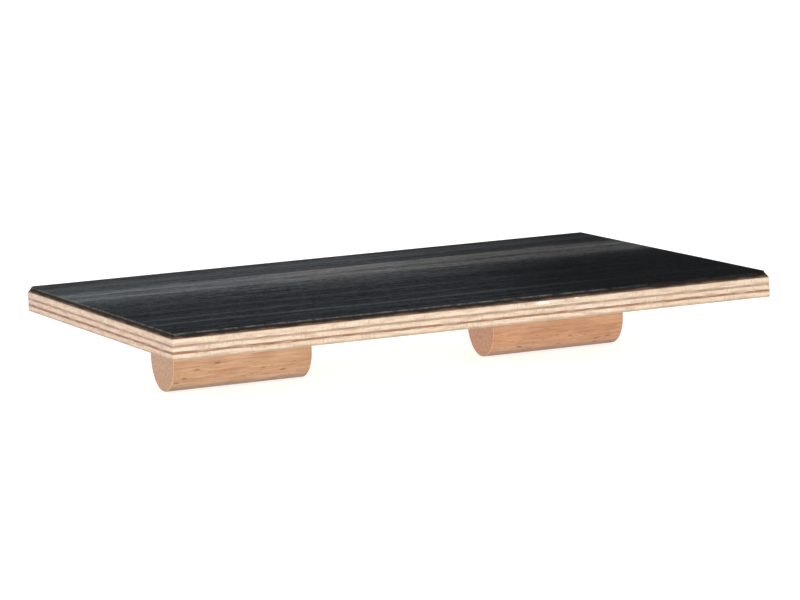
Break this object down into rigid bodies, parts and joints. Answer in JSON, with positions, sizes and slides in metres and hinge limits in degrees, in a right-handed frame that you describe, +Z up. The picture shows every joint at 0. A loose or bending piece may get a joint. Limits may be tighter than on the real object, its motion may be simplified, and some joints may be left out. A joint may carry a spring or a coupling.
{
  "type": "balance board",
  "caption": "Rectangular plywood balance board with a fine-ribbed black rubber mat, rocking sideways on U-shaped beech blocks fixed in line under its middle.",
  "frame": {"origin": "on the floor, under the middle of the deck, at the level of the rockers' lowest lines", "axes": "+X along the deck's long side and along both rockers, +Y across the deck, +Z up through the mat"},
  "size_m": [0.6, 0.4, 0.084],
  "materials": {
    "ribbed_rubber": "matt black rubber with fine ribs along the deck",
    "contact_adhesive": "dried amber-brown contact adhesive",
    "face_veneer": "pale sanded plywood veneer with a thin clear coat",
    "cross_veneer": "darker plywood cross veneer, sanded",
    "steamed_beech": "steamed beech with a thin clear coat",
    "wood_glue": "dried wood glue",
    "dowel_beech": "raw beech",
    "zinc_plated_steel": "bright zinc plate"
  },
  "bodies": {
    "root": {"ribbed_rubber_mat": "ribbed_rubber", "mat_adhesive_film": "contact_adhesive", "deck_face_veneer_top": "face_veneer", "deck_core_veneer": "face_veneer", "deck_face_veneer_bottom": "face_veneer", "deck_cross_veneer_upper": "cross_veneer", "deck_cross_veneer_lower": "cross_veneer", "rocker_left": "steamed_beech", "rocker_right": "steamed_beech", "rocker_glue_left": "wood_glue", "rocker_glue_right": "wood_glue", "rocker_dowel_left_outer": "dowel_beech", "rocker_dowel_left_inner": "dowel_beech", "rocker_dowel_right_outer": "dowel_beech", "rocker_dowel_right_inner": "dowel_beech", "rocker_screw_left_outer": "zinc_plated_steel", "rocker_screw_left_middle": "zinc_plated_steel", "rocker_screw_left_inner": "zinc_plated_steel", "rocker_screw_right_outer": "zinc_plated_steel", "rocker_screw_right_middle": "zinc_plated_steel", "rocker_screw_right_inner": "zinc_plated_steel"}
  },
  "joints": []
}
